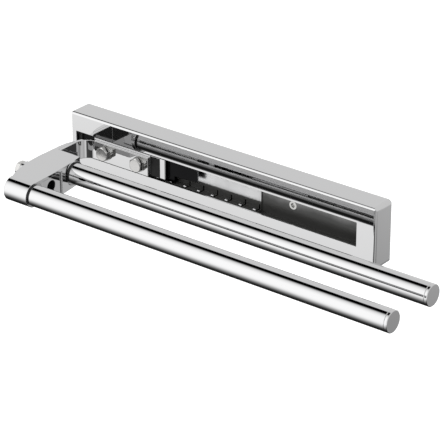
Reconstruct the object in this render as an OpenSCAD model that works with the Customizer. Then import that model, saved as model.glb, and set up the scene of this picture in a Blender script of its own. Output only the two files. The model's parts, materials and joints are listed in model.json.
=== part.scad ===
// Pull-out towel rail with two bars, for the inside of a cabinet side.
// X runs along the bars with the arm at the low end, Y points into the cabinet side, Z is up.
// The origin is the middle of the face that lies on the cabinet side.

/* [Casing] */
// Length of the casing along the cabinet side
casing_l = 346; // [320:1:420]
// Height of the casing
casing_h = 60; // [59:0.5:80]
// Depth of the casing from the cabinet side to its face
casing_d = 24; // [24:0.5:32]
// Thickness of the casing's walls
casing_wall = 2; // [1.6:0.1:2.1]
// Rounding of the edges round the casing's face
face_edge_r = 2.5; // [1:0.1:3]
// Rounding of the long edges' ends at the free end of the casing
free_end_r = 4; // [1:0.5:4.5]
// Rounding of the same corners at the arm's end
arm_end_r = 1; // [0.5:0.5:3]

/* [Window] */
// Height of the long window in the face
window_h = 23; // [21:0.5:24]
// Width of the face left of the window, at the arm's end
window_arm_margin = 5.5; // [4:0.5:10]
// Width of the face right of the window, at the free end
window_free_margin = 20; // [10:1:30]

/* [Slide] */
// Height of the fixed rail
rail_h = 36; // [36:0.5:37]
// Depth of the fixed rail from its web to its lips
rail_d = 11; // [11:0.1:11.4]
// Thickness of the rails' webs
rail_t = 1.5; // [1.2:0.1:1.6]
// Distance from the cabinet side to the back of the fixed rail
rail_standoff = 9; // [9:0.1:9.3]
// Gap between the rail's ends and the casing's ends
rail_end_gap = 5; // [4:0.5:10]
// Height of the moving rail
inner_rail_h = 24.2; // [24:0.1:24.4]
// How far the bars pull out
travel = 190; // [150:1:200]
// Radius of the balls
ball_r = 2.2; // [2:0.05:2.3]
// Distance between neighbouring balls
ball_pitch = 16; // [8:1:24]
// Length of the ball cage
cage_l = 202; // [120:1:220]
// Thickness of the ball cage's web
cage_web_t = 0.8; // [0.6:0.1:1]

/* [Base plate] */
// Thickness of the base plate's steel
base_t = 1.6; // [1.2:0.1:1.8]
// Width of the base plate's raised channel
channel_h = 32; // [30:0.5:34]
// Distance of the fixing holes from the base plate's ends
hole_end_margin = 18; // [10:1:45]
// Distance of the fixing holes from the base plate's long edges
hole_edge_margin = 6.4; // [5.4:0.1:6.9]
// Radius of the fixing holes
hole_r = 2.5; // [2:0.1:3]

/* [Arm] */
// Distance from the casing's face to the rear bar's axis
bar_reach = 48.3; // [46:0.1:70]
// Distance between the two bars' axes
bar_spacing = 58; // [56:0.5:80]
// How far the bars' axes lie below the middle of the casing
bar_drop = 3.5; // [3:0.1:5]
// Radius of the arm's round nose, which sets the height of its head
head_r = 11.5; // [11.2:0.1:12]
// Distance from the casing's arm end to the outside of the arm
arm_offset = 11; // [11:0.5:16]
// Width of the arm where it meets the front bar, from the outside of the arm
head_reach = 37.3; // [36:0.1:44]
// Thickness of the head's top plate
head_plate_t = 3; // [2:0.1:3.2]
// How far the head's sides reach below its nose
skirt_drop = 3; // [0.5:0.5:5]
// Thickness of the cheek that hides the strap
cheek_t = 4; // [3:0.1:5]
// Thickness of the bent strap
strap_t = 3; // [2.5:0.1:3]
// Inside radius of the strap's bend
bend_r = 12; // [8:0.5:12]
// Distance from the outside of the arm to the end of the strap's flange
flange_reach = 82.5; // [78:0.5:95]

/* [Bars] */
// Radius of each bar
bar_r = 10; // [9.6:0.1:11]
// Thickness of the bars' wall
bar_wall = 1; // [0.8:0.1:1.5]
// How far the bars reach past the casing's free end
bar_overhang = 91.5; // [20:0.5:140]
// Thickness of the caps on the bars' free ends
cap_t = 3; // [2:0.5:6]
// Radius of the spigots that hold the bars in the arm
spigot_r = 8; // [7:0.1:8.2]
// Width of the dark ring between the arm and each bar
collar_w = 2; // [1:0.1:3]

/* [Bolts] */
// Thread radius of the three hexagon bolts
bolt_r = 4; // [3:0.5:4]
// Distance across the flats of their heads
bolt_af = 13; // [10:0.5:13]
// Height of their heads
bolt_head_h = 5.3; // [4:0.1:5.5]
// Distance between the two bolts in the flange
bolt_spacing = 40.5; // [36:0.5:42]

/* [Hidden] */
$fn = 64;

// overrun of every cut, and the gaps that pieces keep from each other
cut = 1;
running_gap = 0.3;
fit_gap = 0.05;

// the casing's ends, its face and the inside of its walls
arm_end_x = -casing_l / 2;
free_end_x = casing_l / 2;
face_y = -casing_d;
inside_h = casing_h - 2 * casing_wall;
window_l = casing_l - window_arm_margin - window_free_margin;

// the fixed rail, from its web at the back to its lips at the front
rail_l = casing_l - 2 * rail_end_gap;
web_back_y = -rail_standoff;
web_front_y = web_back_y - rail_t;
lip_front_y = web_back_y - rail_d;
lip_reach = 2.8;

// the balls run between the two rails' flanges, in grooves that are cut into both
groove_r = ball_r + running_gap;
groove_depth = 0.6;
ball_z = inner_rail_h / 2 - groove_depth + groove_r;
rail_flange_t = rail_h / 2 - ball_z - groove_r + groove_depth;
ball_inset = 6.2;
ball_y = web_back_y - ball_inset;

// the moving rail stands level with the inside of the lips
inner_flange_t = 2;
inner_flange_w = 6;
inner_front_y = lip_front_y + rail_t;
inner_back_y = inner_front_y + inner_flange_w;

// the ball cage is a thin channel behind the moving rail
cage_gap = 0.5;
cage_front_y = inner_back_y + cage_gap;
cage_flange_t = 1.6;
cage_reach = 6.7;
cage_end_gap = 7;
cage_x = arm_end_x + rail_end_gap + cage_end_gap;
cage_ball_margin = 5;
ball_count = floor((cage_l - 2 * cage_ball_margin) / ball_pitch) + 1;

// rubber stops fill the rail's two ends, and the moving rail fills what the travel leaves
stop_l = 4;
stop_gap = 0.5;
stop_h = 18;
inner_rail_l = rail_l - 2 * stop_l - 2 * stop_gap - travel;
inner_rail_x = arm_end_x + rail_end_gap + stop_l + stop_gap;

// the base plate's raised channel carries the rail, and its feet lie on the cabinet side
foot_edge_z = inside_h / 2 - 2 * fit_gap;
hole_spacing_l = rail_l - 2 * hole_end_margin;
hole_spacing_h = 2 * (foot_edge_z - hole_edge_margin);
tab_w = 16;
tab_reach = 16;
tab_end_margin = 58;
tab_spacing = rail_l - 2 * tab_end_margin;
tab_hole_y = -9;

// countersunk screws through the rail, and through the casing's underside
rail_screw_margin = 93;
rail_screw_spacing = rail_l - 2 * rail_screw_margin;
rail_screw_r = 2;
rail_screw_head_r = 4;
rail_screw_head_h = 2.2;
rail_screw_l = 7;
rail_nut_r = 3.8;
rail_nut_t = 4;
cover_screw_r = 1.5;
cover_screw_head_r = 2.9;
cover_screw_head_h = 1.5;
cover_screw_l = 5;

// the two bars' axes and the arm's head
rear_y = face_y - bar_reach;
front_y = rear_y - bar_spacing;
bar_z = -bar_drop;
head_top_z = bar_z + head_r;
head_bottom_z = bar_z - head_r;
head_back_y = rear_y + head_r;
arm_x = arm_end_x + arm_offset;
nose_end_x = arm_x + head_reach;
nose_w = 26.8;
boss_step = 3.2;
rear_boss_end_x = nose_end_x - boss_step;

// the head's long sides are shallow arcs, widest a little before its back and before the front bar
outer_arc_r = 121;
outer_arc_inset = 19.2;
outer_arc_y = head_back_y - outer_arc_inset;
inner_arc_r = 411;
inner_arc_inset = 2.7;
inner_arc_y = front_y - inner_arc_inset;

// the head's hollow, open below, and the shallow recess with a round hole in its inner side
recess_depth = 1.5;
recess_l = 28.8;
web_t = 3;
socket_depth = 18;
side_hole_r = 6;
side_hole_inset = 25.3;
side_hole_drop = 1.5;
side_hole_y = front_y + side_hole_inset;
side_hole_z = bar_z - side_hole_drop;
skirt_bottom_z = head_bottom_z - skirt_drop;

// the strap lies against the cheek, bends and ends in the flange behind the window
strap_x = arm_x + cheek_t;
flange_inset = 1.5;
flange_back_y = face_y + flange_inset;
flange_front_y = flange_back_y - strap_t;
bend_outer_r = bend_r + strap_t;
bend_x = strap_x + bend_outer_r;
bend_y = flange_back_y - bend_outer_r;
strap_bottom_z = -10.4;
tongue_top_z = head_top_z - head_plate_t - 2 * fit_gap;
tongue_inset = 18.3;
tongue_end_y = front_y + tongue_inset;
flange_end_x = arm_x + flange_reach;
cheek_tip_t = 0.8;

// the plates behind the flange, of which the spacer shows at both of the flange's ends
spacer_arm_margin = 4;
spacer_free_margin = 18;
spacer_x = bend_x - spacer_arm_margin;
spacer_end_x = flange_end_x + spacer_free_margin;
spacer_h = 20;
nut_plate_t = 3.5;
nut_plate_h = 16;
nut_plate_margin = 10;

// the hexagon bolts
washer_r = 7.4;
washer_t = 1.6;
bolt_inset = 32;
bolt_x = arm_x + bolt_inset;
head_bolt_inset = 28.7;
head_bolt_y = rear_y - head_bolt_inset;
head_bolt_z = 0.5;
pad_r = 8.2;
pad_t = 0.5;
pad_x = arm_x - pad_t;
bolt_clearance = 0.2;
bolt_hole_r = bolt_r + bolt_clearance;
bolt_tip = 0.2;

// the bars
bar_end_x = free_end_x + bar_overhang;
front_bar_x = nose_end_x + collar_w;
rear_bar_x = rear_boss_end_x + collar_w;
bar_bore_r = bar_r - bar_wall;
plug_l = 22;
collar_inset = 1.1;
collar_r = bar_r - collar_inset;
cap_spigot_l = 8;
cap_edge_r = 0.6;
lock_screw_r = 2.5;

// a round rod along X, Y or Z from the given point towards the high side
module rod_x(at, r, l) {
  translate(at) rotate([0, 90, 0]) cylinder(h = l, r = r);
}

module rod_y(at, r, l) {
  translate(at) rotate([-90, 0, 0]) cylinder(h = l, r = r);
}

module rod_z(at, r, l) {
  translate(at) cylinder(h = l, r = r);
}

// a block between two corners
module block(low, high) {
  translate(low) cube(high - low);
}

// an outline drawn in Y and Z, pulled along X
module along_x(x, l) {
  translate([x, 0, 0]) rotate([90, 0, 90]) linear_extrude(l) children();
}

// an outline drawn in X and Z, pulled along Y
module along_y(y, l) {
  translate([0, y + l, 0]) rotate([90, 0, 0]) linear_extrude(l) children();
}

// a flat rectangle between two corners
module flat(low, high) {
  translate(low) square(high - low);
}

// what is cut away to round a corner that faces the given way
module corner_cut(at, facing, r) {
  translate([at[0] - facing[0] * r, at[1] - facing[1] * r])
    difference() {
      translate([min(facing[0], 0) * (r + cut), min(facing[1], 0) * (r + cut)]) square(r + cut);
      circle(r);
    }
}

// a countersunk screw whose flat head lies at the origin and whose tip points up
module countersunk(head_r, head_h, shank_r, l) {
  cylinder(h = head_h, r1 = head_r, r2 = shank_r);
  cylinder(h = l, r = shank_r);
}

// a hexagon bolt whose head stands below the origin and whose shank points up
module hexagon_bolt(l) {
  translate([0, 0, -bolt_head_h]) {
    rotate([0, 0, 30]) cylinder(h = bolt_head_h, r = bolt_af / sqrt(3), $fn = 6);
    cylinder(h = bolt_head_h + l, r = bolt_r);
  }
}

module washer() {
  difference() {
    cylinder(h = washer_t, r = washer_r);
    translate([0, 0, -cut]) cylinder(h = washer_t + 2 * cut, r = bolt_hole_r);
  }
}

// both of a pair that lie the same way from the middle
module pair_x(spacing) {
  for (side = [-1, 1]) translate([side * spacing / 2, 0, 0]) children();
}

module top_and_bottom() {
  children();
  mirror([0, 0, 1]) children();
}

module casing_front_outline() {
  difference() {
    flat([arm_end_x, -casing_h / 2], [free_end_x, casing_h / 2]);
    for (side = [-1, 1]) {
      corner_cut([arm_end_x, side * casing_h / 2], [-1, side], arm_end_r);
      corner_cut([free_end_x, side * casing_h / 2], [1, side], free_end_r);
    }
  }
}

module casing_side_outline() {
  difference() {
    flat([face_y, -casing_h / 2], [0, casing_h / 2]);
    for (side = [-1, 1]) corner_cut([face_y, side * casing_h / 2], [-1, side], face_edge_r);
  }
}

module casing_top_outline() {
  difference() {
    flat([arm_end_x, face_y], [free_end_x, 0]);
    corner_cut([arm_end_x, face_y], [-1, -1], arm_end_r);
    corner_cut([free_end_x, face_y], [1, -1], face_edge_r);
    corner_cut([free_end_x, 0], [1, 1], casing_wall / 2);
  }
}

module cover_screw_places() {
  pair_x(tab_spacing) translate([0, tab_hole_y, -casing_h / 2]) children();
}

module rail_screw_places() {
  pair_x(rail_screw_spacing) translate([0, web_front_y, 0]) rotate([-90, 0, 0]) children();
}

// one-piece chromed casing, open at the back
module casing() {
  color("gainsboro") difference() {
    intersection() {
      along_y(face_y, casing_d) casing_front_outline();
      along_x(arm_end_x, casing_l) casing_side_outline();
      translate([0, 0, -casing_h / 2]) linear_extrude(casing_h) casing_top_outline();
    }
    block([arm_end_x + casing_wall, face_y + casing_wall, -inside_h / 2],
          [free_end_x - casing_wall, cut, inside_h / 2]);
    block([arm_end_x + window_arm_margin, face_y - cut, -window_h / 2],
          [arm_end_x + window_arm_margin + window_l, face_y + casing_wall + cut, window_h / 2]);
    cover_screw_places() countersunk(cover_screw_head_r + fit_gap, cover_screw_head_h + fit_gap,
                                     cover_screw_r + fit_gap, casing_wall + cut);
  }
}

// one side of the base plate: half the channel, a foot and a tab under each cover screw
module base_half() {
  block([-rail_l / 2, web_back_y, 0], [rail_l / 2, web_back_y + base_t, channel_h / 2]);
  block([-rail_l / 2, web_back_y, channel_h / 2 - base_t], [rail_l / 2, 0, channel_h / 2]);
  block([-rail_l / 2, -base_t, channel_h / 2 - base_t], [rail_l / 2, 0, foot_edge_z]);
  pair_x(tab_spacing) block([-tab_w / 2, -tab_reach, foot_edge_z - base_t], [tab_w / 2, 0, foot_edge_z]);
}

// pressed steel base plate that is screwed to the cabinet side
module base_plate() {
  color("silver") difference() {
    top_and_bottom() base_half();
    pair_x(hole_spacing_l) for (side = [-1, 1])
      rod_y([0, -base_t - cut, side * hole_spacing_h / 2], hole_r, base_t + 2 * cut);
    rail_screw_places() countersunk(rail_screw_head_r + fit_gap, rail_screw_head_h + fit_gap,
                                    rail_screw_r + fit_gap, rail_t + base_t + cut);
    cover_screw_places() rod_z([0, 0, 0], cover_screw_r + fit_gap, 2 * casing_wall + base_t);
  }
}

// small screws that hold the casing to the base plate's lower tabs
module cover_screws() {
  color("silver") cover_screw_places()
    countersunk(cover_screw_head_r, cover_screw_head_h, cover_screw_r, cover_screw_l);
}

module outer_rail_half() {
  flat([web_front_y, 0], [web_back_y, rail_h / 2]);
  difference() {
    flat([lip_front_y, rail_h / 2 - rail_flange_t], [web_back_y, rail_h / 2]);
    translate([ball_y, ball_z]) circle(groove_r);
  }
  flat([lip_front_y, rail_h / 2 - lip_reach], [lip_front_y + rail_t, rail_h / 2]);
}

// fixed rail of the ball slide, open to the front
module outer_rail() {
  color("dimgray") difference() {
    along_x(-rail_l / 2, rail_l) {
      outer_rail_half();
      mirror([0, 1]) outer_rail_half();
    }
    rail_screw_places() countersunk(rail_screw_head_r + fit_gap, rail_screw_head_h + fit_gap,
                                    rail_screw_r + fit_gap, rail_screw_head_h + cut);
  }
}

// flush screws that join the rail to the base plate
module rail_screws() {
  color("silver") rail_screw_places()
    countersunk(rail_screw_head_r, rail_screw_head_h, rail_screw_r, rail_screw_l);
}

// round nuts pressed into the back of the channel
module rail_nuts() {
  color("silver") pair_x(rail_screw_spacing) difference() {
    rod_y([0, web_back_y + base_t, 0], rail_nut_r, rail_nut_t);
    rod_y([0, web_back_y, 0], rail_screw_r + fit_gap, base_t + rail_nut_t + cut);
  }
}

module rubber_stop(x) {
  block([x, lip_front_y, -stop_h / 2], [x + stop_l, web_front_y, stop_h / 2]);
}

// rubber stop that the moving rail rests against when the bars are pushed in
module arm_end_stop() {
  color("black") rubber_stop(-rail_l / 2);
}

// rubber stop that ends the pull
module free_end_stop() {
  color("black") rubber_stop(rail_l / 2 - stop_l);
}

module ball_places() {
  for (i = [0 : ball_count - 1])
    translate([cage_x + cage_ball_margin + i * ball_pitch, ball_y, ball_z]) children();
}

module ball_cage_half() {
  block([cage_x, cage_front_y, 0], [cage_x + cage_l, cage_front_y + cage_web_t, ball_z + cage_flange_t / 2]);
  difference() {
    block([cage_x, cage_front_y + cage_web_t - cage_reach, ball_z - cage_flange_t / 2],
          [cage_x + cage_l, cage_front_y + cage_web_t, ball_z + cage_flange_t / 2]);
    ball_places() rod_z([0, 0, -cage_flange_t], ball_r + 2 * fit_gap, 2 * cage_flange_t);
  }
}

// thin channel that keeps the balls apart
module ball_cage() {
  color("slategray") top_and_bottom() ball_cage_half();
}

// row of balls over the moving rail
module upper_balls() {
  color("silver") ball_places() sphere(ball_r);
}

// row of balls under the moving rail
module lower_balls() {
  color("silver") mirror([0, 0, 1]) ball_places() sphere(ball_r);
}

module inner_rail_half() {
  flat([inner_front_y, 0], [inner_front_y + rail_t, inner_rail_h / 2]);
  difference() {
    flat([inner_front_y, inner_rail_h / 2 - inner_flange_t], [inner_back_y, inner_rail_h / 2]);
    translate([ball_y, ball_z]) circle(groove_r);
  }
}

module flange_bolt_places() {
  for (i = [0, 1]) translate([bolt_x + i * bolt_spacing, flange_front_y, 0]) rotate([-90, 0, 0]) children();
}

// the holes for the flange's bolts, right through all that they clamp
module flange_bolt_holes() {
  flange_bolt_places() translate([0, 0, -cut]) cylinder(h = casing_d, r = bolt_hole_r);
}

// moving rail of the ball slide
module inner_rail() {
  color("silver") difference() {
    along_x(inner_rail_x, inner_rail_l) {
      inner_rail_half();
      mirror([0, 1]) inner_rail_half();
    }
    flange_bolt_holes();
  }
}

// steel plate that fills the depth between the flange and the moving rail
module spacer_plate() {
  color("gainsboro") difference() {
    block([spacer_x, flange_back_y, -spacer_h / 2], [spacer_end_x, inner_front_y, spacer_h / 2]);
    flange_bolt_holes();
  }
}

// threaded plate behind the moving rail
module nut_plate() {
  color("gray") difference() {
    block([bolt_x - nut_plate_margin, inner_front_y + rail_t, -nut_plate_h / 2],
          [bolt_x + bolt_spacing + nut_plate_margin, inner_front_y + rail_t + nut_plate_t, nut_plate_h / 2]);
    flange_bolt_places() translate([0, 0, -cut]) cylinder(h = casing_d, r = bolt_r + fit_gap);
  }
}

// hexagon bolts that hold the flange to the slide
module flange_bolts() {
  color("silver") flange_bolt_places() translate([0, 0, -washer_t])
    hexagon_bolt(washer_t + inner_front_y + rail_t + nut_plate_t + bolt_tip - flange_front_y);
}

module flange_washers() {
  color("silver") flange_bolt_places() translate([0, 0, -washer_t]) washer();
}

// plan of the strap: leg, quarter bend and flange
module strap_outline() {
  flat([strap_x, tongue_end_y], [strap_x + strap_t, bend_y]);
  intersection() {
    translate([bend_x, bend_y]) difference() {
      circle(bend_outer_r);
      circle(bend_r);
    }
    flat([strap_x, bend_y], [bend_x, flange_back_y]);
  }
  flat([bend_x, flange_front_y], [flange_end_x, flange_back_y]);
}

module head_bolt_axis() {
  translate([pad_x, head_bolt_y, head_bolt_z]) rotate([0, 90, 0]) children();
}

// bent steel strap that carries the head and ends in the bolted flange
module arm_strap() {
  color("gainsboro") difference() {
    translate([0, 0, strap_bottom_z]) linear_extrude(head_top_z - strap_bottom_z) strap_outline();
    block([strap_x - cut, tongue_end_y - cut, tongue_top_z],
          [strap_x + strap_t + cut, head_back_y + fit_gap, head_top_z + cut]);
    flange_bolt_holes();
    head_bolt_axis() cylinder(h = bend_outer_r, r = bolt_r + fit_gap);
  }
}

// plan of everything inside the arc that the given setback leaves on the inner side
module inside_inner_arc(setback) {
  translate([nose_end_x - inner_arc_r, inner_arc_y]) circle(inner_arc_r - setback, $fn = 360);
}

module inside_outer_arc() {
  translate([arm_x + outer_arc_r, outer_arc_y]) circle(outer_arc_r, $fn = 360);
}

// plan of the head behind the nose's axis
module head_outline() {
  intersection() {
    flat([arm_x - cut, front_y], [nose_end_x, head_back_y]);
    inside_inner_arc(0);
    union() {
      inside_outer_arc();
      flat([arm_x, outer_arc_y], [nose_end_x, head_back_y]);
    }
  }
}

// plan of the cheek, which thins out towards the bend
module cheek_outline() {
  polygon([
    [arm_x, head_back_y - fit_gap],
    [strap_x, head_back_y - fit_gap],
    [strap_x, bend_y],
    [strap_x - cheek_tip_t, bend_y],
    [arm_x + cheek_tip_t, bend_y - 2 * cheek_t],
    [arm_x, bend_y - 4 * cheek_t]
  ]);
}

// an outline in plan, raised from the given height to the head's top
module full_height(bottom_z) {
  translate([0, 0, bottom_z]) linear_extrude(head_top_z - bottom_z) children();
}

// die-cast head with a round nose in line with the front bar
module arm_head() {
  color("gainsboro") difference() {
    union() {
      full_height(head_bottom_z) head_outline();
      intersection() {
        full_height(skirt_bottom_z) head_outline();
        block([arm_x, front_y + head_r, skirt_bottom_z], [nose_end_x, head_back_y, head_top_z]);
      }
      rod_x([nose_end_x - nose_w, front_y, bar_z], head_r, nose_w);
      rod_x([rear_boss_end_x - socket_depth, rear_y, bar_z], head_r, socket_depth);
      full_height(strap_bottom_z) cheek_outline();
      intersection() {
        head_bolt_axis() cylinder(h = strap_x - pad_x, r = pad_r);
        full_height(skirt_bottom_z) flat([pad_x, tongue_end_y - bend_outer_r], [strap_x, head_back_y]);
      }
    }
    // the hollow, open below
    intersection() {
      block([strap_x, front_y + head_r, skirt_bottom_z - cut],
            [nose_end_x, rear_y - head_r, head_top_z - head_plate_t]);
      full_height(skirt_bottom_z - cut) inside_inner_arc(recess_depth + web_t);
    }
    // the recess under the edge of the top plate
    difference() {
      block([arm_x, front_y + head_r, skirt_bottom_z - cut],
            [nose_end_x + cut, front_y + head_r + recess_l, head_top_z - head_plate_t]);
      full_height(skirt_bottom_z - 2 * cut) inside_inner_arc(recess_depth);
    }
    rod_x([strap_x + strap_t, side_hole_y, side_hole_z], side_hole_r, head_reach);
    // the slot that the strap slides into from below
    block([strap_x - fit_gap, tongue_end_y - fit_gap, skirt_bottom_z - cut],
          [strap_x + strap_t + fit_gap, head_back_y + cut, tongue_top_z + fit_gap]);
    // the rear bar's seat is faced flat, and both spigots have their sockets
    rod_x([rear_boss_end_x, rear_y, bar_z], head_r, boss_step + cut);
    rod_x([nose_end_x - socket_depth - fit_gap, front_y, bar_z], spigot_r + fit_gap, socket_depth + cut);
    rod_x([rear_boss_end_x - socket_depth - fit_gap, rear_y, bar_z], spigot_r + fit_gap, socket_depth + cheek_t);
    lock_screw_places() translate([0, 0, -skirt_drop - cut]) cylinder(h = head_r, r = lock_screw_r + fit_gap);
    head_bolt_axis() translate([0, 0, -cut]) cylinder(h = strap_x - pad_x + 2 * cut, r = bolt_hole_r);
  }
}

// hexagon bolt that clamps the head to the strap
module head_bolt() {
  color("silver") head_bolt_axis() translate([0, 0, -washer_t])
    hexagon_bolt(washer_t + strap_x + strap_t - pad_x + bolt_tip);
}

module head_washer() {
  color("silver") head_bolt_axis() translate([0, 0, -washer_t]) washer();
}

module lock_screw_places() {
  translate([nose_end_x - socket_depth / 2, front_y, head_bottom_z]) children();
  translate([rear_boss_end_x - socket_depth / 2, rear_y, head_bottom_z]) children();
}

// headless screws that lock the spigots from below
module lock_screws() {
  color("dimgray") lock_screw_places() cylinder(h = head_r - spigot_r - fit_gap, r = lock_screw_r);
}

module bar(x, y) {
  difference() {
    rod_x([x, y, bar_z], bar_r, bar_end_x - cap_t - x);
    rod_x([x - cut, y, bar_z], bar_bore_r, bar_end_x + 2 * cut - x);
  }
}

// chromed tube nearer the user
module front_bar() {
  color("whitesmoke") bar(front_bar_x, front_y);
}

// chromed tube nearer the casing
module rear_bar() {
  color("whitesmoke") bar(rear_bar_x, rear_y);
}

module plug(x, y) {
  rod_x([x - collar_w - socket_depth, y, bar_z], spigot_r, socket_depth + collar_w);
  rod_x([x, y, bar_z], bar_bore_r - fit_gap, plug_l);
}

// solid plug in the front tube, with the spigot that enters the nose
module front_plug() {
  color("gray") plug(front_bar_x, front_y);
}

// solid plug in the rear tube
module rear_plug() {
  color("gray") plug(rear_bar_x, rear_y);
}

module collar(x, y) {
  difference() {
    rod_x([x - collar_w, y, bar_z], collar_r, collar_w);
    rod_x([x - collar_w - cut, y, bar_z], spigot_r + fit_gap, collar_w + 2 * cut);
  }
}

// dark ring between the nose and the front tube
module front_collar() {
  color("black") collar(front_bar_x, front_y);
}

// dark ring between the head and the rear tube
module rear_collar() {
  color("black") collar(rear_bar_x, rear_y);
}

module cap(y) {
  rod_x([bar_end_x - cap_t, y, bar_z], bar_r, cap_t - cap_edge_r);
  translate([bar_end_x - cap_edge_r, y, bar_z]) rotate([0, 90, 0])
    cylinder(h = cap_edge_r, r1 = bar_r, r2 = bar_r - cap_edge_r);
  rod_x([bar_end_x - cap_t - cap_spigot_l, y, bar_z], bar_bore_r - fit_gap, cap_spigot_l);
}

// cap on the front tube's free end
module front_cap() {
  color("gainsboro") cap(front_y);
}

// cap on the rear tube's free end
module rear_cap() {
  color("gainsboro") cap(rear_y);
}

casing();
base_plate();
cover_screws();
outer_rail();
rail_screws();
rail_nuts();
arm_end_stop();
free_end_stop();
ball_cage();
upper_balls();
lower_balls();
inner_rail();
spacer_plate();
nut_plate();
flange_bolts();
flange_washers();
arm_strap();
arm_head();
head_bolt();
head_washer();
lock_screws();
front_bar();
rear_bar();
front_plug();
rear_plug();
front_collar();
rear_collar();
front_cap();
rear_cap();
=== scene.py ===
"""Pull-out towel rail with two bars, dressed for its picture. Lengths are in metres."""
import json
import math

import bmesh
import bpy
from mathutils import Matrix, Vector

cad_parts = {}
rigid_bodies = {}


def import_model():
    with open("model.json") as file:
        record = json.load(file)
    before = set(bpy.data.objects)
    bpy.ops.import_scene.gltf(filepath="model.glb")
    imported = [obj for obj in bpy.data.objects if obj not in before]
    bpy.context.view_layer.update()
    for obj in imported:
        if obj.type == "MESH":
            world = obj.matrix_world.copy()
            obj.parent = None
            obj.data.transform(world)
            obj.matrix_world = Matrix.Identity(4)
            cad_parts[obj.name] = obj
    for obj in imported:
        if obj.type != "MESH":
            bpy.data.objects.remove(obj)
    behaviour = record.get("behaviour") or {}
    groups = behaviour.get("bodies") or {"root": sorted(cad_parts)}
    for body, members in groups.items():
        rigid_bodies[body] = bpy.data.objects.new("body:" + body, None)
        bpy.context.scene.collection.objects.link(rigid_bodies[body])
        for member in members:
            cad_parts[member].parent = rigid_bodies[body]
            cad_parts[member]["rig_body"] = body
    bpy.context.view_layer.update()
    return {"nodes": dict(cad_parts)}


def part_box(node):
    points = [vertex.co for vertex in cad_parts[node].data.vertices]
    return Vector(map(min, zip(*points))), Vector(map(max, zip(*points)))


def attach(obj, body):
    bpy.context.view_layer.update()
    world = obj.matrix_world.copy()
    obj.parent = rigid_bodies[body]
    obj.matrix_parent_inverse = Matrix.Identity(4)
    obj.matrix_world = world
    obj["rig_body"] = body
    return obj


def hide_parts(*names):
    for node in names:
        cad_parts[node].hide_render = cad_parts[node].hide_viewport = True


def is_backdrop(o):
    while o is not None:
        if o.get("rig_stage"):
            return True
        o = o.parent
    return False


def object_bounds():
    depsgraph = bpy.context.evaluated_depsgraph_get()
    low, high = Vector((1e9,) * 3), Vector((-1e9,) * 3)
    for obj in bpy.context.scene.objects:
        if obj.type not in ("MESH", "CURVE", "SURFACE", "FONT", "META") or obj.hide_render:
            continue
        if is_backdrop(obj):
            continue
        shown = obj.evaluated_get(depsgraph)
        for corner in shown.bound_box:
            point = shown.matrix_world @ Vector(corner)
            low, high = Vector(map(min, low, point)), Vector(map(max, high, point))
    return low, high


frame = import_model()
MM = 0.001


# Base plate. A hat section, pressed from zinc-plated steel strip and screwed to the cabinet side.
# Its plating is satin, with smudges of handling and the fine roll marks of plated strip.

SMUDGE_FROM, SMUDGE_FULL = 0.52, 0.78
SMUDGE_DETAIL = 5.0
SCRATCH_STRETCH = (25.0, 2600.0, 2600.0)
RELIEF_DEPTH = 0.02 * MM
BEVEL_SAMPLES = 8
SAME_PLACE = 0.002 * MM
SAME_PLANE = math.radians(0.4)
EASED_FROM = math.radians(30)
SHARP_FROM = math.radians(14)
PLATE_EDGE_R = 0.25 * MM


def link(obj):
    """Puts an object into the scene."""
    bpy.context.scene.collection.objects.link(obj)
    return obj


def socket(tree, name, kind, way="INPUT", default=None):
    """Adds a named input or output to a node group."""
    made = tree.interface.new_socket(name=name, in_out=way, socket_type=kind)
    if default is not None:
        made.default_value = default


def feed(tree, place, term):
    """Links a socket to an input, or sets the input to a plain number."""
    if isinstance(term, bpy.types.NodeSocket):
        tree.links.new(term, place)
    else:
        place.default_value = term


def step(tree, operation, *terms):
    """One arithmetic step in a node tree."""
    made = tree.nodes.new("ShaderNodeMath")
    made.operation = operation
    for place, term in zip(made.inputs, terms):
        feed(tree, place, term)
    return made.outputs[0]


def noise(tree, place, scale, detail=2.0):
    """Soft noise over a place."""
    made = tree.nodes.new("ShaderNodeTexNoise")
    made.inputs["Detail"].default_value = detail
    feed(tree, made.inputs["Vector"], place)
    feed(tree, made.inputs["Scale"], scale)
    return made.outputs["Fac"]


def handling_tree():
    """Marks of handling: broad smudges, and fine scratches along X that also give a height."""
    group = bpy.data.node_groups.new("handling marks", "ShaderNodeTree")
    socket(group, "Smudge Size", "NodeSocketFloat", default=30.0)
    socket(group, "Smudge Amount", "NodeSocketFloat", default=0.05)
    socket(group, "Polish Roughness", "NodeSocketFloat", default=0.03)
    socket(group, "Scratch Amount", "NodeSocketFloat", default=0.05)
    socket(group, "Roughness", "NodeSocketFloat", "OUTPUT")
    socket(group, "Height", "NodeSocketFloat", "OUTPUT")
    given = group.nodes.new("NodeGroupInput").outputs
    out = group.nodes.new("NodeGroupOutput").inputs
    place = group.nodes.new("ShaderNodeTexCoord").outputs["Object"]
    fade = group.nodes.new("ShaderNodeMapRange")
    fade.inputs["From Min"].default_value = SMUDGE_FROM
    fade.inputs["From Max"].default_value = SMUDGE_FULL
    group.links.new(noise(group, place, given["Smudge Size"], SMUDGE_DETAIL), fade.inputs["Value"])
    stretch = group.nodes.new("ShaderNodeMapping")
    stretch.inputs["Scale"].default_value = SCRATCH_STRETCH
    group.links.new(place, stretch.inputs["Vector"])
    scratches = noise(group, stretch.outputs["Vector"], 1.0)
    smudged = step(group, "MULTIPLY", fade.outputs["Result"], given["Smudge Amount"])
    scratched = step(group, "MULTIPLY", scratches, given["Scratch Amount"])
    marked = step(group, "ADD", smudged, scratched)
    group.links.new(step(group, "ADD", marked, given["Polish Roughness"]), out["Roughness"])
    group.links.new(scratches, out["Height"])
    return group


handling_marks = handling_tree()


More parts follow.
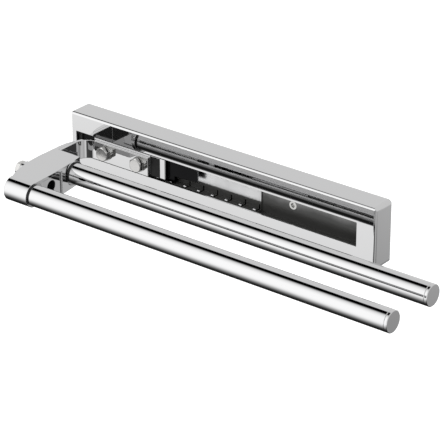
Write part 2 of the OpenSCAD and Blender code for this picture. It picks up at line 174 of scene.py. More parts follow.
def blank(name):
    """A new material, its node tree and its shader."""
    made = bpy.data.materials.new(name)
    made.use_nodes = True
    return made, made.node_tree, made.node_tree.nodes["Principled BSDF"]


def emboss(tree, shader, height, strength, depth):
    """Gives a shader a fine relief."""
    bump = tree.nodes.new("ShaderNodeBump")
    bump.inputs["Strength"].default_value = strength
    bump.inputs["Distance"].default_value = depth
    tree.links.new(height, bump.inputs["Height"])
    tree.links.new(bump.outputs["Normal"], shader.inputs["Normal"])


def metal(name, colour, polish, smudge=0.04, scratch=0.03, smudge_size=30.0, relief=0.0, edge_r=0.0):
    """A bare or plated metal with marks of handling, and either a relief or edges eased by edge_r."""
    made, tree, shader = blank(name)
    shader.inputs["Base Color"].default_value = (*colour, 1.0)
    shader.inputs["Metallic"].default_value = 1.0
    marks = tree.nodes.new("ShaderNodeGroup")
    marks.node_tree = handling_marks
    marks.inputs["Smudge Size"].default_value = smudge_size
    marks.inputs["Smudge Amount"].default_value = smudge
    marks.inputs["Polish Roughness"].default_value = polish
    marks.inputs["Scratch Amount"].default_value = scratch
    tree.links.new(marks.outputs["Roughness"], shader.inputs["Roughness"])
    if relief:
        emboss(tree, shader, marks.outputs["Height"], relief, RELIEF_DEPTH)
    if edge_r:
        eased = tree.nodes.new("ShaderNodeBevel")
        eased.samples = BEVEL_SAMPLES
        eased.inputs["Radius"].default_value = edge_r
        tree.links.new(eased.outputs["Normal"], shader.inputs["Normal"])
    return made


def even_out(piece):
    """Evens a piece's shading by the size of its faces."""
    weigh = piece.modifiers.new("even shading", "WEIGHTED_NORMAL")
    weigh.keep_sharp = True


def soften(piece, edge_r, steps=3, miter="MITER_SHARP"):
    """Eases a piece's sharp edges and evens its shading."""
    bevel = piece.modifiers.new("eased edges", "BEVEL")
    bevel.width = edge_r
    bevel.segments = steps
    bevel.limit_method = "ANGLE"
    bevel.angle_limit = EASED_FROM
    bevel.use_clamp_overlap = False
    bevel.miter_outer = miter
    bevel.harden_normals = True
    even_out(piece)
    return piece


def crisp(mesh):
    """Keeps a mesh's real edges sharp and its curved sides smooth, by the angle between its faces."""
    stale = mesh.attributes.get("custom_normal")
    if stale:
        mesh.attributes.remove(stale)
    shape = bmesh.new()
    shape.from_mesh(mesh)
    for face in shape.faces:
        face.smooth = True
    for edge in shape.edges:
        edge.smooth = edge.calc_face_angle(math.pi) < SHARP_FROM
    shape.to_mesh(mesh)
    shape.free()


def eased_copy(node, name, edge_r, material, steps=3, other=None, how="DIFFERENCE"):
    """Stands for a CAD node: the same shape, cut by or joined to another, with its sharp edges eased."""
    cad = frame["nodes"][node]
    mesh = cad.data.copy()
    shape = bmesh.new()
    shape.from_mesh(mesh)
    bmesh.ops.remove_doubles(shape, verts=shape.verts, dist=SAME_PLACE)
    bmesh.ops.dissolve_limit(shape, angle_limit=SAME_PLANE, verts=shape.verts, edges=shape.edges)
    for face in shape.faces:
        face.smooth = True
    shape.to_mesh(mesh)
    shape.free()
    mesh.materials.clear()
    mesh.materials.append(material)
    piece = link(bpy.data.objects.new(name, mesh))
    if other:
        carve = piece.modifiers.new("carve", "BOOLEAN")
        carve.object = other
        carve.operation = how
        evaluated = piece.evaluated_get(bpy.context.evaluated_depsgraph_get())
        mesh = bpy.data.meshes.new_from_object(evaluated)
        piece.data = mesh
        piece.modifiers.clear()
        bpy.data.objects.remove(other)
    if edge_r:
        soften(piece, edge_r, steps, "MITER_ARC")
    else:
        crisp(mesh)
        even_out(piece)
    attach(piece, cad["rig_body"])
    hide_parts(node)
    return piece


zinc_plate = metal("zinc plate", (0.42, 0.43, 0.44), polish=0.28, smudge=0.12, scratch=0.1, relief=0.4)
base = eased_copy("base_plate", "base_plate_pressing", PLATE_EDGE_R, zinc_plate)


# Outer rail. Rolled from steel strip, with a raceway along each flange, and darker than the rest.
# It is screwed to the base plate through its web, and its lower half is darkened with painted shade.

LOW_SHADE_TONE = (0.055, 0.055, 0.053, 1)
LOW_SHADE_EDGE_SCALE = 60.0
RAIL_SHADE_Z = -6 * MM
RAIL_SHADE_BAND = 8 * MM
RAIL_EDGE_R = 0.3 * MM


def low_shade_tree():
    """Painted shade that darkens a metal below a height and fades out above it over a band."""
    group = bpy.data.node_groups.new("low_shade", "ShaderNodeTree")
    socket(group, "Metal", "NodeSocketColor", default=(0.4, 0.4, 0.4, 1))
    socket(group, "Level", "NodeSocketFloat")
    socket(group, "Band", "NodeSocketFloat", default=0.001)
    socket(group, "Base Color", "NodeSocketColor", "OUTPUT")
    socket(group, "Metallic", "NodeSocketFloat", "OUTPUT")
    given = group.nodes.new("NodeGroupInput").outputs
    out = group.nodes.new("NodeGroupOutput").inputs
    place = group.nodes.new("ShaderNodeTexCoord").outputs["Object"]
    split = group.nodes.new("ShaderNodeSeparateXYZ")
    group.links.new(place, split.inputs[0])
    ragged = noise(group, place, LOW_SHADE_EDGE_SCALE)
    edge = step(group, "MULTIPLY_ADD", ragged, given["Band"], given["Level"])
    above = step(group, "SUBTRACT", split.outputs["Z"], edge)
    bare = step(group, "DIVIDE", above, given["Band"])
    bare.node.use_clamp = True
    tone = group.nodes.new("ShaderNodeMix")
    tone.data_type = "RGBA"
    tone.inputs["A"].default_value = LOW_SHADE_TONE
    group.links.new(bare, tone.inputs["Factor"])
    group.links.new(given["Metal"], tone.inputs["B"])
    group.links.new(tone.outputs["Result"], out["Base Color"])
    group.links.new(bare, out["Metallic"])
    return group


low_shade = low_shade_tree()


def paint_low_shade(material, level, band):
    """Paints shade over a metal, up to a height along Z."""
    links = material.node_tree.links
    shader = material.node_tree.nodes["Principled BSDF"]
    shade_layer = material.node_tree.nodes.new("ShaderNodeGroup")
    shade_layer.node_tree = low_shade
    shade_layer.inputs["Metal"].default_value = shader.inputs["Base Color"].default_value
    shade_layer.inputs["Level"].default_value = level
    shade_layer.inputs["Band"].default_value = band
    links.new(shade_layer.outputs["Base Color"], shader.inputs["Base Color"])
    links.new(shade_layer.outputs["Metallic"], shader.inputs["Metallic"])
    return material


rolled_steel = metal("rolled steel", (0.23, 0.23, 0.23), polish=0.26, smudge=0.1, scratch=0.12, relief=0.5)
# Painted shade: the rail's lower half is coloured dark, fading out upward.
paint_low_shade(rolled_steel, RAIL_SHADE_Z, RAIL_SHADE_BAND)
rail = eased_copy("outer_rail", "outer_rail_profile", RAIL_EDGE_R, rolled_steel)


# Rail screws and nuts. Two turned screws with countersunk heads, plated bright.
# They go through the rail's web into round nuts behind the base plate.

SCREW_HEAD_R = 4 * MM
SCREW_HEAD_H = 2.2 * MM
SCREW_R = 2 * MM
SCREW_RIM = 0.3 * MM
SCREW_EDGE_R = 0.1 * MM
SOCKET_R = 2.1 * MM
SOCKET_DEPTH = 1.8 * MM
AROUND = 96


def row_tree():
    """Repeats the piece it is given along a line, joined and in one material."""
    tree = bpy.data.node_groups.new("row of pieces", "GeometryNodeTree")
    socket(tree, "Geometry", "NodeSocketGeometry")
    socket(tree, "Count", "NodeSocketInt", default=2)
    socket(tree, "Step", "NodeSocketVector")
    socket(tree, "Material", "NodeSocketMaterial")
    socket(tree, "Geometry", "NodeSocketGeometry", "OUTPUT")
    nodes, links = tree.nodes, tree.links
    given = nodes.new("NodeGroupInput").outputs
    out = nodes.new("NodeGroupOutput").inputs
    line = nodes.new("GeometryNodeMeshLine")
    copies = nodes.new("GeometryNodeInstanceOnPoints")
    joined = nodes.new("GeometryNodeRealizeInstances")
    finish = nodes.new("GeometryNodeSetMaterial")
    links.new(given["Count"], line.inputs["Count"])
    links.new(given["Step"], line.inputs["Offset"])
    links.new(line.outputs["Mesh"], copies.inputs["Points"])
    links.new(given["Geometry"], copies.inputs["Instance"])
    links.new(copies.outputs["Instances"], joined.inputs["Geometry"])
    links.new(joined.outputs["Geometry"], finish.inputs["Geometry"])
    links.new(given["Material"], finish.inputs["Material"])
    links.new(finish.outputs["Geometry"], out["Geometry"])
    return tree


row_of_pieces = row_tree()


def in_a_row(piece, name, count, pitch, material):
    """The plain mesh of count copies of a piece, each a pitch further along X."""
    modifier = piece.modifiers.new("row", "NODES")
    modifier.node_group = row_of_pieces
    inputs = {item.name: item.identifier for item in row_of_pieces.interface.items_tree
              if item.in_out == "INPUT"}
    modifier[inputs["Count"]] = count
    modifier[inputs["Step"]] = (pitch, 0, 0)
    modifier[inputs["Material"]] = material
    evaluated = piece.evaluated_get(bpy.context.evaluated_depsgraph_get())
    mesh = bpy.data.meshes.new_from_object(evaluated)
    bpy.data.objects.remove(piece)
    return link(bpy.data.objects.new(name, mesh))


def built(name, shape, material=None):
    """Makes an object of a finished shape."""
    mesh = bpy.data.meshes.new(name)
    shape.to_mesh(mesh)
    shape.free()
    if material:
        mesh.materials.append(material)
    return link(bpy.data.objects.new(name, mesh))


def turned(name, profile, centre, axis, material):
    """A solid turned from (reach, radius) pairs about an axis through centre."""
    shape = bmesh.new()
    toward = Vector(axis).normalized()
    side = toward.orthogonal().normalized()
    across = toward.cross(side)
    angles = [2 * math.pi * i / AROUND for i in range(AROUND)]
    rings = []
    for reach, radius in profile:
        at = Vector(centre) + toward * reach
        if radius == 0:
            rings.append([shape.verts.new(at)] * AROUND)
            continue
        spokes = [radius * (math.cos(a) * side + math.sin(a) * across) for a in angles]
        rings.append([shape.verts.new(at + spoke) for spoke in spokes])
    for here, there in zip(rings, rings[1:]):
        for i in range(AROUND):
            corners = list(dict.fromkeys([here[i], here[i - 1], there[i - 1], there[i]]))
            if len(corners) > 2:
                shape.faces.new(corners)
    for face in shape.faces:
        face.smooth = True
    bmesh.ops.remove_doubles(shape, verts=shape.verts, dist=SAME_PLACE / 2)
    bmesh.ops.recalc_face_normals(shape, faces=shape.faces)
    return built(name, shape, material)


def paint(node, material):
    """Gives a CAD node its finish and leaves its shape alone."""
    cad = frame["nodes"][node]
    cad.data.materials.clear()
    cad.data.materials.append(material)


screw_steel = metal("bright zinc", (0.5, 0.5, 0.49), polish=0.14, smudge=0.08, scratch=0.06)
low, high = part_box("rail_screws")
screw_l = high.y - low.y
first_screw = turned("first screw", [
    (0, 0), (0, SCREW_R), (screw_l - SCREW_HEAD_H, SCREW_R), (screw_l - SCREW_RIM, SCREW_HEAD_R),
    (screw_l, SCREW_HEAD_R), (screw_l, SOCKET_R), (screw_l - SOCKET_DEPTH, SOCKET_R),
    (screw_l - SOCKET_DEPTH, 0)],
    (low.x + SCREW_HEAD_R, high.y, (low.z + high.z) / 2), (0, -1, 0), screw_steel)
soften(first_screw, SCREW_EDGE_R)
screws = in_a_row(first_screw, "rail_screw_pair", 2, high.x - low.x - 2 * SCREW_HEAD_R, screw_steel)
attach(screws, "fixed_part")
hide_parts("rail_screws")
paint("rail_nuts", screw_steel)


# Rubber stops. Black moulded blocks, pushed into the rail's two ends, where the slide comes to rest.
# They are dull all over, with a dusty bloom.

GRAIN_DETAIL = 3.0
GRAIN_STRENGTH = 0.3
GRAIN_DEPTH = 0.03 * MM
GRAIN_DARK, GRAIN_LIGHT = 0.7, 1.3
STOP_EDGE_R = 0.5 * MM


def dull(name, colour, roughness, grain, shine=0.5):
    """Moulded rubber or plastic, or thick grease, with a fine grain."""
    made, tree, shader = blank(name)
    place = tree.nodes.new("ShaderNodeTexCoord").outputs["Object"]
    speckle = noise(tree, place, grain, GRAIN_DETAIL)
    tone = tree.nodes.new("ShaderNodeMix")
    tone.data_type = "RGBA"
    tone.inputs["A"].default_value = (*[GRAIN_DARK * c for c in colour], 1.0)
    tone.inputs["B"].default_value = (*[GRAIN_LIGHT * c for c in colour], 1.0)
    tree.links.new(speckle, tone.inputs["Factor"])
    tree.links.new(tone.outputs["Result"], shader.inputs["Base Color"])
    shader.inputs["Roughness"].default_value = roughness
    shader.inputs["Specular IOR Level"].default_value = shine
    emboss(tree, shader, speckle, GRAIN_STRENGTH, GRAIN_DEPTH)
    return made


stop_rubber = dull("stop rubber", (0.02, 0.02, 0.02), roughness=0.75, grain=900.0)
for end in ("arm_end", "free_end"):
    stop = eased_copy(f"{end}_stop", f"{end}_stop_block", STOP_EDGE_R, stop_rubber)


# Ball cage and balls. The cage is a thin bright channel, darkened below with painted shade, with drilled
# flanges.
# The steel balls sit in its holes, one row above the moving rail and one below.

CAGE_SHADE_Z = -6.6 * MM
CAGE_SHADE_BAND = 1 * MM
CAGE_EDGE_R = 0.12 * MM
BALL_PITCH = 16 * MM
BALL_RINGS = 16

cage_steel = metal("cage strip", (0.62, 0.62, 0.625), polish=0.24, smudge=0.1, scratch=0.08, relief=0.3)
# Painted shade: the cage is coloured dark below its lower part.
paint_low_shade(cage_steel, CAGE_SHADE_Z, CAGE_SHADE_BAND)
cage = eased_copy("ball_cage", "ball_cage_channel", CAGE_EDGE_R, cage_steel)

ball_steel = metal("ball steel", (0.55, 0.55, 0.555), polish=0.05, smudge=0.05, scratch=0.0)
for row_name in ("upper_balls", "lower_balls"):
    low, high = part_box(row_name)
    ball_r = (high.z - low.z) / 2
    ball = bmesh.new()
    bmesh.ops.create_uvsphere(ball, u_segments=2 * BALL_RINGS, v_segments=BALL_RINGS, radius=ball_r)
    for vert in ball.verts:
        vert.co += low + Vector((ball_r, ball_r, ball_r))
    for face in ball.faces:
        face.smooth = True
    first_ball = built("first ball", ball)
    ball_count = round((high.x - low.x - 2 * ball_r) / BALL_PITCH) + 1
    balls = in_a_row(first_ball, row_name.replace("_", "_row_of_"), ball_count, BALL_PITCH, ball_steel)
    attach(balls, "cage")
    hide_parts(row_name)


# Shade sheets of the cage. A thin near-black sheet stands beside each lower ball, as painted shade there.
# They stand on the cage's lower flange and run up its web a little.

CAGE_WEB_T = 0.8 * MM
CAGE_FLANGE_T = 1.6 * MM
SHADE_SHEET_W = 1.4 * MM
SHADE_SHEET_T = 0.12 * MM
SHADE_SHEET_UP = 4.6 * MM
SHADE_SHEET_AFTER_BALL = 3.3 * MM


def slab(name, outline, axis, start, end):
    """A flat-sided solid: an outline across the axis, carried from start to end along it."""
    shape = bmesh.new()

    def corner(pair, depth):
        spot = list(pair)
        spot.insert("XYZ".index(axis), depth)
        return shape.verts.new(spot)

    ends = [[corner(pair, depth) for pair in outline] for depth in (start, end)]
    for i in range(len(outline)):
        shape.faces.new([ends[0][i - 1], ends[0][i], ends[1][i], ends[1][i - 1]])
    for face in ends:
        shape.faces.new(face)
    bmesh.ops.recalc_face_normals(shape, faces=shape.faces)
    return built(name, shape)


# Painted shade: near-black sheets put beside the lower balls, where the cage shows dark.
cage_shade_black = dull("painted cage shade", (0.003, 0.003, 0.003), roughness=0.5, grain=700.0, shine=0.05)
low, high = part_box("ball_cage")
ball_low, ball_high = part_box("lower_balls")
web_y = high.y - CAGE_WEB_T
flange_z = low.z + CAGE_FLANGE_T
shade_sheet_x = ball_low.x + (ball_high.z - ball_low.z) / 2 + SHADE_SHEET_AFTER_BALL
outline = [(web_y, flange_z + SHADE_SHEET_UP), (web_y - SHADE_SHEET_T, flange_z + SHADE_SHEET_UP),
           (web_y - SHADE_SHEET_T, flange_z + SHADE_SHEET_T), (low.y, flange_z + SHADE_SHEET_T),
           (low.y, flange_z), (web_y, flange_z)]
first_shade_sheet = slab("first shade sheet", outline, "X", shade_sheet_x - SHADE_SHEET_W / 2, shade_sheet_x + SHADE_SHEET_W / 2)
shade_sheets = in_a_row(first_shade_sheet, "cage_shade_sheets", ball_count, BALL_PITCH, cage_shade_black)
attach(shade_sheets, "cage")


# Inner rail. Rolled steel, coloured near-black as painted shade, which moves between the two rows of
# balls.
# It is notched below at its free end, and its end face there is coloured with the zinc plate, lighter than
# the rest.

NOTCH_L = 27 * MM
NOTCH_Z = -5.3 * MM
NOTCH_RISE = 1.2 * MM
FACES_END = 0.9

# Painted shade: the inner rail and the nut plate are coloured near-black for the dark inside the window.
shade_black_steel = metal("painted shade steel", (0.008, 0.008, 0.0085), polish=0.16, smudge=0.1, scratch=0.12,
                    relief=0.5)
low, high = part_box("inner_rail")
start, end = high.x - NOTCH_L, high.x + MM
below = low.z - MM
outline = [(start, NOTCH_Z), (start, below), (end, below), (end, NOTCH_Z + NOTCH_RISE)]
notch = slab("notch", outline, "Y", low.y - MM, high.y + MM)
inner = eased_copy("inner_rail", "inner_rail_profile", RAIL_EDGE_R, shade_black_steel, other=notch)
inner.data.materials.append(zinc_plate)
for face in inner.data.polygons:
    if face.normal.x > FACES_END and face.center.x > start:
        face.material_index = 1


# Spacer and nut plate. The spacer is a chromed block that brings the flange out to the window, with
# a thin near-black patch on it beside the flange's end, a painted dark reflection. The nut plate behind
# the inner rail takes the bolts.

SPACER_EDGE_R = 0.8 * MM
REFLECTION_PATCH_END = 6 * MM
REFLECTION_PATCH_MARGIN = 0.4 * MM
REFLECTION_PATCH_PROUD = 0.15 * MM
REFLECTION_PATCH_EDGE_R = 0.05 * MM

chrome = metal("chrome", (0.57, 0.57, 0.573), polish=0.015, smudge=0.025, scratch=0.01)
spacer = eased_copy("spacer_plate", "spacer_block", SPACER_EDGE_R, chrome)
paint("nut_plate", shade_black_steel)

# Painted reflection: a near-black patch on the chrome spacer stands for the dark it mirrors there.
reflection_patch_black = dull("painted dark reflection", (0.01, 0.01, 0.01), roughness=0.3, grain=300.0, shine=0.12)
low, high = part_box("spacer_plate")
flange_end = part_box("arm_strap")[1].x
near, far = flange_end + REFLECTION_PATCH_MARGIN, high.x - REFLECTION_PATCH_END
bottom, top = low.z + REFLECTION_PATCH_MARGIN, high.z - REFLECTION_PATCH_MARGIN
outline = [(near, bottom), (far, bottom), (far, top), (near, top)]
reflection_patch = soften(slab("spacer_painted_reflection", outline, "Y", low.y - REFLECTION_PATCH_PROUD, low.y), REFLECTION_PATCH_EDGE_R)
reflection_patch.data.materials.append(reflection_patch_black)
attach(reflection_patch, "carriage")


# Arm strap. Flat steel bar, bent once round a vertical line and chromed with its edges eased.
# Its flange lies in the window and takes two hexagon bolts. Its tongue runs into the head's hollow,
# and is cut here a little shorter than the CAD's, so that it stays inside the head's outer wall.

TONGUE_CUT = 3.4 * MM
STRAP_EDGE_R = 0.5 * MM

low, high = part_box("arm_strap")
left, front, tongue_end = low.x - MM, low.y - MM, low.y + TONGUE_CUT
outline = [(left, front), (left, tongue_end), (high.x, tongue_end), (high.x, front)]
past_end = slab("past the tongue's end", outline, "Z", low.z - MM, high.z + MM)
strap = eased_copy("arm_strap", "arm_strap_bend", STRAP_EDGE_R, chrome, steps=4, other=past_end)


# Hexagon bolts and washers. Forged heads with a turned chamfer, bright plated.
# Two hold the flange to the slide and the third clamps the head to the strap.

BOLT_AF = 13 * MM
BOLT_HEAD_H = 5.3 * MM
BOLT_R = 4 * MM
BOLT_EDGE_R = 0.25 * MM
WASHER_EDGE_R = 0.2 * MM
CHAMFER_SHARE = 0.93
CHAMFER_ANGLE = math.radians(30)


def hexagon_bolt(name, length, head_base, axis, corner, material):
    """A hexagon bolt whose head stands on head_base and faces along axis, with its shank behind."""
    shape = bmesh.new()
    toward = Vector(axis).normalized()
    up = Vector(corner).normalized()
    side = toward.cross(up)
    flat_r = CHAMFER_SHARE * BOLT_AF / 2

    def ring(radius_of, reach_of):
        made = []
        for i in range(AROUND):
            angle = 2 * math.pi * i / AROUND
            radius = radius_of(angle)
            out = radius * (math.cos(angle) * up + math.sin(angle) * side)
            made.append(shape.verts.new(Vector(head_base) + out + toward * reach_of(radius)))
        return made

    def hexagon_radius(angle):
        from_flat = (angle % (math.pi / 3)) - math.pi / 6
        return BOLT_AF / 2 / math.cos(from_flat)

    def chamfered(radius):
        return BOLT_HEAD_H - max(0.0, radius - flat_r) * math.tan(CHAMFER_ANGLE)

    rings = [
        ring(lambda angle: flat_r, lambda radius: BOLT_HEAD_H),
        ring(hexagon_radius, chamfered),
        ring(hexagon_radius, lambda radius: 0.0),
        ring(lambda angle: BOLT_R, lambda radius: 0.0),
        ring(lambda angle: BOLT_R, lambda radius: BOLT_HEAD_H - length),
    ]
    shape.faces.new(rings[0])
    shape.faces.new(reversed(rings[-1]))
    for here, there in zip(rings, rings[1:]):
        for i in range(AROUND):
            shape.faces.new([here[i], here[i - 1], there[i - 1], there[i]])
    for face in shape.faces:
        face.smooth = True
    bmesh.ops.recalc_face_normals(shape, faces=shape.faces)
    return soften(built(name, shape, material), BOLT_EDGE_R)


bolt_plate = metal("bolt plate", (0.52, 0.515, 0.505), polish=0.12, smudge=0.1, scratch=0.06)
low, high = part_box("flange_bolts")
first_bolt = hexagon_bolt("first bolt", high.y - low.y,
                          (low.x + BOLT_AF / 2, low.y + BOLT_HEAD_H, (low.z + high.z) / 2),
                          (0, -1, 0), (0, 0, 1), bolt_plate)
flange_bolts = in_a_row(first_bolt, "flange_bolt_pair", 2, high.x - low.x - BOLT_AF, bolt_plate)
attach(flange_bolts, "carriage")
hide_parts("flange_bolts")

low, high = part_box("head_bolt")
head_bolt = hexagon_bolt("clamp_bolt", high.x - low.x,
                         (low.x + BOLT_HEAD_H, (low.y + high.y) / 2, (low.z + high.z) / 2),
                         (-1, 0, 0), (0, 1, 0), bolt_plate)
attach(head_bolt, "carriage")
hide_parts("head_bolt")
for node in ("flange_washers", "head_washer"):
    washer = eased_copy(node, f"{node}_pressed", WASHER_EDGE_R, screw_steel)


# Arm head. Die-cast zinc, ground, polished and chromed, with a flat top that runs into a round nose.
# Its inner side has a recess with a round hole, and it is hollow below. The CAD's hollow breaks
# through the outer side beside the nose, so a strip of wall along the outer arc closes it here.

HEAD_EDGE_R = 0.6 * MM
OUTER_ARC_R = 121 * MM
OUTER_ARC_AT = Vector((-41, -80)) * MM
OUTER_WALL_SINK = 0.01 * MM
OUTER_WALL_T = 1.8 * MM
OUTER_WALL_FROM = -118.85 * MM
OUTER_WALL_TO = -108.9 * MM
OUTER_WALL_STEPS = 12
WALL_TOP_DROP = 2.5 * MM
RECESS_IN = 3.2 * MM
HOLE_R = 6 * MM
HOLE_BEHIND_BAR = 25.3 * MM
HOLE_BELOW_BAR = 1.5 * MM
CUP_GAP = 0.08 * MM
CUP_WALL = 0.6 * MM
CUP_SINK = 0.4 * MM
CUP_DEPTH = 5 * MM
CUP_EDGE_R = 0.1 * MM

cast_chrome = metal("cast chrome", (0.57, 0.57, 0.573), polish=0.015, smudge=0.025, scratch=0.01,
                    edge_r=HEAD_EDGE_R)
low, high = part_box("arm_head")
outside, inside = [], []
for i in range(OUTER_WALL_STEPS + 1):
    y = OUTER_WALL_FROM + (OUTER_WALL_TO - OUTER_WALL_FROM) * i / OUTER_WALL_STEPS
    x = OUTER_ARC_AT.x - math.sqrt((OUTER_ARC_R - OUTER_WALL_SINK) ** 2 - (y - OUTER_ARC_AT.y) ** 2)
    outside.append((x, y))
    inside.append((x + OUTER_WALL_T, y))
outer_wall = slab("outer wall", outside + inside[::-1], "Z", low.z, high.z - WALL_TOP_DROP)
head = eased_copy("arm_head", "arm_head_casting", 0, cast_chrome, other=outer_wall, how="UNION")

# Painted shade: the cup in the head's round hole is near-black for the dark inside the hole.
hole_shade_black = dull("painted hole shade", (0.004, 0.004, 0.004), roughness=0.4, grain=700.0, shine=0.1)
cup_r = HOLE_R - CUP_GAP
cup_bore_r = cup_r - CUP_WALL
bar_low, bar_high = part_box("front_bar")
cup_mouth = (high.x - RECESS_IN - CUP_SINK, (bar_low.y + bar_high.y) / 2 + HOLE_BEHIND_BAR,
             (bar_low.z + bar_high.z) / 2 - HOLE_BELOW_BAR)
cup = turned("head_hole_cup", [
    (0, cup_r), (0, cup_bore_r), (CUP_DEPTH - CUP_WALL, cup_bore_r), (CUP_DEPTH - CUP_WALL, 0),
    (CUP_DEPTH, 0), (CUP_DEPTH, cup_r), (0, cup_r)],
    cup_mouth, (-1, 0, 0), hole_shade_black)
soften(cup, CUP_EDGE_R)
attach(cup, "carriage")
lock_steel = metal("blackened steel", (0.12, 0.12, 0.13), polish=0.35, smudge=0.1, scratch=0.05)
paint("lock_screws", lock_steel)


# Bars. Chromed steel tube with a turned cap pressed into each free end and a plug in the other.
# A ring closes the joint between each tube and the head, coloured black as painted shade of the gap.

TUBE_WALL = 1 * MM
TUBE_EDGE = 0.25 * MM
CAP_L = 3 * MM
CAP_JOINT = 0.35 * MM
CAP_EDGE = 0.5 * MM
SPIGOT_GAP = 0.05 * MM
TURNED_EDGE_R = 0.08 * MM
COLLAR_EDGE_R = 0.2 * MM

tube_chrome = metal("tube chrome", (0.57, 0.57, 0.573), polish=0.012, smudge=0.02, scratch=0.012,
                    smudge_size=18.0)
# Painted shade: the collar rings are black for the shadow in the gap at the head.
gap_shade_black = dull("painted gap shade", (0.015, 0.015, 0.015), roughness=0.4, grain=700.0)
plug_grey = dull("plug grey", (0.3, 0.3, 0.31), roughness=0.5, grain=600.0)
for bar in ("front", "rear"):
    low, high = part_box(f"{bar}_bar")
    bar_r = (high.z - low.z) / 2
    bore_r = bar_r - TUBE_WALL
    length = high.x - low.x
    axis_y, axis_z = (low.y + high.y) / 2, (low.z + high.z) / 2
    tube = turned(f"{bar}_tube", [
        (0, bore_r), (0, bar_r - TUBE_EDGE), (TUBE_EDGE, bar_r), (length - CAP_JOINT, bar_r),
        (length, bar_r - CAP_JOINT), (length, bore_r), (0, bore_r)],
        (low.x, axis_y, axis_z), (1, 0, 0), tube_chrome)
    soften(tube, TURNED_EDGE_R)
    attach(tube, "carriage")
    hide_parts(f"{bar}_bar")

    low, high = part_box(f"{bar}_cap")
    spigot_l = high.x - low.x - CAP_L
    spigot_r = bore_r - SPIGOT_GAP
    cap = turned(f"{bar}_end_cap", [
        (0, 0), (0, spigot_r), (spigot_l, spigot_r), (spigot_l, bar_r - CAP_JOINT),
        (spigot_l + CAP_JOINT, bar_r), (spigot_l + CAP_L - CAP_EDGE, bar_r),
        (spigot_l + CAP_L, bar_r - CAP_EDGE), (spigot_l + CAP_L, 0)],
        (low.x, axis_y, axis_z), (1, 0, 0), tube_chrome)
    soften(cap, TURNED_EDGE_R)
    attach(cap, "carriage")
    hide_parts(f"{bar}_cap")

    ring = eased_copy(f"{bar}_collar", f"{bar}_collar_ring", COLLAR_EDGE_R, gap_shade_black)
    paint(f"{bar}_plug", plug_grey)


# Casing. One chromed shell with a flat polished face, open at the back, that hides the slide.
# The long window in its face is cut square, and two small screws hold it from below.

CASING_EDGE_R = 0.2 * MM
COVER_SCREW_EDGE_R = 0.1 * MM

casing = eased_copy("casing", "casing_shell", CASING_EDGE_R, chrome)
cover_screws = eased_copy("cover_screws", "cover_screw_pair", COVER_SCREW_EDGE_R, screw_steel)


# Floor. A pale, matt studio floor well below the part, which keeps the part's soft shadow.
# Mirror rays pass it by, so that the chrome sees the tent's dark underside and not the floor.

FLOOR_DROP = 0.6
FLOOR_HALF = 12.0
FLOOR_TONE = (0.9, 0.9, 0.9, 1)
FLOOR_GLOW = 0.5

scene = bpy.context.scene
scene.view_settings.view_transform = "Standard"
floor_mesh = bpy.data.meshes.new("floor")
corners = [(x * FLOOR_HALF, y * FLOOR_HALF, -FLOOR_DROP) for x, y in ((-1, -1), (1, -1), (1, 1), (-1, 1))]
floor_mesh.from_pydata(corners, [], [(0, 1, 2, 3)])
floor = link(bpy.data.objects.new("floor", floor_mesh))
floor.visible_glossy = False
floor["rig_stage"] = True
floor_paint, _, floor_shader = blank("floor paint")
floor_shader.inputs["Base Color"].default_value = FLOOR_TONE
floor_shader.inputs["Roughness"].default_value = 1.0
floor_shader.inputs["Specular IOR Level"].default_value = 0.0
floor_shader.inputs["Emission Color"].default_value = (1, 1, 1, 1)
floor_shader.inputs["Emission Strength"].default_value = FLOOR_GLOW
floor_mesh.materials.append(floor_paint)


# Tent of light. Its brightness is a plain function of direction: pale behind, white in front and
# dark below. A black slit lies overhead toward the arm's end, and a dark card stands low in front.
# Only the camera sees plain white, since the photograph's chrome mirrors greys and dark slits.

# brightness by the angle about X, in degrees from the wall side over the top
TENT = [(-180, 1.66), (-175, 1.64), (-167, 1.6), (-159, 1.5), (-151, 1.3), (-143, 1.0), (-134, 0.66),
        (-124, 0.4), (-114, 0.17), (-102, 0.055), (-89, 0.02), (-60, 0.02), (-42, 0.36), (-33, 0.42),
        (-30, 0.64), (-18, 0.93), (62, 0.96), (98, 0.96), (112, 1.0), (120, 1.26), (127, 1.42),
        (135, 1.55), (142, 1.63), (150, 1.66), (180, 1.66)]
TENT_TOP = 1.8
# the slit's share by the same angle, and by X
SLIT = [(70, 0), (73, 1), (99, 1), (104, 0.58), (112, 0)]
SLIT_REACH = [(-0.9, 0), (-0.8, 1), (-0.3, 1), (-0.1, 0)]
# the front's share by Y, because the grey and the card lie there alone
FRONT_SIDE = [(-0.1, 1), (0.1, 0)]
# the front's brightness by X, greyest straight ahead, and the card's width along X and height along Z
FRONT = [(-0.5, 1), (-0.2, 0.62), (0.3, 0.62), (0.66, 1)]
CARD_WIDTH = [(-0.2, 0), (-0.13, 1), (0.62, 1), (0.69, 0)]
CARD_HEIGHT = [(-0.75, 0), (-0.6, 1), (-0.33, 1), (-0.28, 0)]
CARD_DARK = 0.92
# the ends' share by X, and their level
ENDS = [(-0.74, 1), (-0.66, 0), (0.8, 0), (0.9, 1)]
END_LEVEL = 0.75

world = bpy.data.worlds.new("studio")
world.use_nodes = True
scene.world = world
sky_tree = world.node_tree


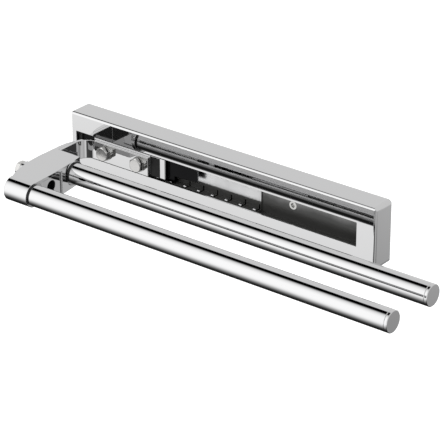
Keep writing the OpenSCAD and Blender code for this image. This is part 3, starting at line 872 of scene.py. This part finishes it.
def along(value, points, top=1.0):
    """The level at a value, drawn straight between (value, level) points that stay below top."""
    first, last = points[0][0], points[-1][0]
    made = sky_tree.nodes.new("ShaderNodeFloatCurve")
    made.mapping.extend = "HORIZONTAL"
    curve = made.mapping.curves[0]
    spots = [((at - first) / (last - first), level / top) for at, level in points]
    curve.points[0].location = spots[0]
    curve.points[1].location = spots[-1]
    for spot in spots[1:-1]:
        curve.points.new(*spot)
    for point in curve.points:
        point.handle_type = "VECTOR"
    made.mapping.update()
    share = step(sky_tree, "DIVIDE", step(sky_tree, "SUBTRACT", value, first), last - first)
    sky_tree.links.new(share, made.inputs["Value"])
    return step(sky_tree, "MULTIPLY", made.outputs[0], top)


def times(first, second):
    """The product of two levels."""
    return step(sky_tree, "MULTIPLY", first, second)


def shaded(level, shade):
    """A level that a shade takes away: none of it at 0, all of it at 1."""
    return times(level, step(sky_tree, "SUBTRACT", 1, shade))


direction = sky_tree.nodes.new("ShaderNodeSeparateXYZ")
sky_tree.links.new(sky_tree.nodes.new("ShaderNodeTexCoord").outputs["Generated"], direction.inputs[0])
x, y, z = (direction.outputs[axis] for axis in "XYZ")
angle = step(sky_tree, "DEGREES", step(sky_tree, "ARCTAN2", z, y))
slit = times(along(angle, SLIT), along(x, SLIT_REACH))
ahead = along(y, FRONT_SIDE)
grey = shaded(ahead, along(x, FRONT))
card = times(ahead, times(along(x, CARD_WIDTH), along(z, CARD_HEIGHT)))
ends = along(x, ENDS)
tent = shaded(along(angle, TENT, TENT_TOP), slit)
tent = shaded(tent, grey)
tent = shaded(tent, times(card, CARD_DARK))
tent = step(sky_tree, "ADD", shaded(tent, ends), times(ends, END_LEVEL))
seen = sky_tree.nodes.new("ShaderNodeLightPath")
shown = sky_tree.nodes.new("ShaderNodeMix")
shown.data_type = "FLOAT"
shown.inputs["B"].default_value = 1.0
sky_tree.links.new(seen.outputs["Is Camera Ray"], shown.inputs["Factor"])
sky_tree.links.new(tent, shown.inputs["A"])
sky = sky_tree.nodes["Background"]
sky.inputs["Color"].default_value = (1, 1, 1, 1)
sky_tree.links.new(shown.outputs["Result"], sky.inputs["Strength"])


# Lamps. Two large soft boxes, one overhead and one in front toward the free end.
# They light what is dull and cast the shadow, and the chrome doesn't mirror them.

LAMP_AIM = Vector((0, -0.06, 0))
# each lamp's name, place, width and power in watts
LAMPS = [
    ("overhead softbox", (0.2, -0.3, 1.6), 1.4, 5.0),
    ("front softbox", (0.9, -1.6, 0.7), 1.2, 3.0),
]
for name, at, width, power in LAMPS:
    light = bpy.data.lights.new(name, "AREA")
    light.shape = "SQUARE"
    light.size = width
    light.energy = power
    lamp = link(bpy.data.objects.new(name, light))
    lamp.location = at
    lamp.rotation_euler = (LAMP_AIM - Vector(at)).to_track_quat("-Z", "Y").to_euler()
    lamp.visible_glossy = False


# Camera. The photograph's camera, as fitted to the casing's edges and the bars.
# It is turned until the mark on the part falls on the mark's pixel, with no lens shift.

VIEW_AZIMUTH = math.radians(38.856)
VIEW_ELEVATION = math.radians(25.493)
VIEW_ROLL = math.radians(-0.336)
VIEW_DISTANCE = 2.0983
SENSOR = 36.0
FRAME_PX = 440
FOCAL_PX = 2356.4
MARK = Vector((0.17, -56.47, -8.35)) * MM
MARK_PX = Vector((194.5, 209.15))
FAR_END = 60

back = Vector((math.sin(VIEW_AZIMUTH) * math.cos(VIEW_ELEVATION),
               -math.cos(VIEW_AZIMUTH) * math.cos(VIEW_ELEVATION), math.sin(VIEW_ELEVATION)))
level = Vector((math.cos(VIEW_AZIMUTH), math.sin(VIEW_AZIMUTH), 0))
right = math.cos(VIEW_ROLL) * level + math.sin(VIEW_ROLL) * back.cross(level)
up = back.cross(right)
px = VIEW_DISTANCE / FOCAL_PX
aim = MARK + right * (FRAME_PX / 2 - MARK_PX.x) * px + up * (MARK_PX.y - FRAME_PX / 2) * px
eye = MARK + back * VIEW_DISTANCE
level_view = Matrix((right, up, back)).transposed()
turned_view = (-back).rotation_difference(aim - eye).to_matrix() @ level_view
lens = bpy.data.cameras.new("camera")
lens.sensor_width = SENSOR
lens.lens = SENSOR * FOCAL_PX / FRAME_PX
lens.clip_end = FAR_END
camera = link(bpy.data.objects.new("camera", lens))
camera.matrix_world = Matrix.Translation(eye) @ turned_view.to_4x4()
scene.camera = camera

low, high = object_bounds()
